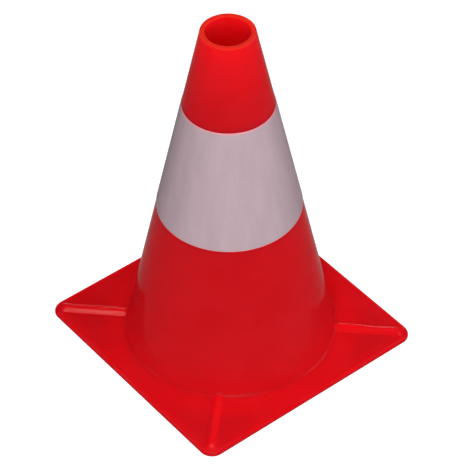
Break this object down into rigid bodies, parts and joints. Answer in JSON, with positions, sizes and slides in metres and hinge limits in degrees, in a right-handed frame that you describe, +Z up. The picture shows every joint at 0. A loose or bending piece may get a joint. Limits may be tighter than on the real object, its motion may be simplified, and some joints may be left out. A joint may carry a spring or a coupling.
{
  "type": "traffic cone",
  "caption": "Small soft PVC traffic cone with an open top, a square ribbed base and one wide wrapped reflective sleeve.",
  "frame": {"origin": "centre of the square base, on the ground", "axes": "+Z up along the cone's axis; the base's sides run along X and Y, so its corners and ribs lie on the diagonals; the sleeve's lapped seam faces +X+Y"},
  "size_m": [0.207, 0.207, 0.3],
  "materials": {
    "cone_pvc": "soft red PVC, moulded, satin gloss",
    "reflective_film": "silver-grey glass-bead reflective film, matte with a fine grain"
  },
  "bodies": {
    "root": {"cone_body": "cone_pvc", "reflective_sleeve": "reflective_film"}
  },
  "joints": []
}
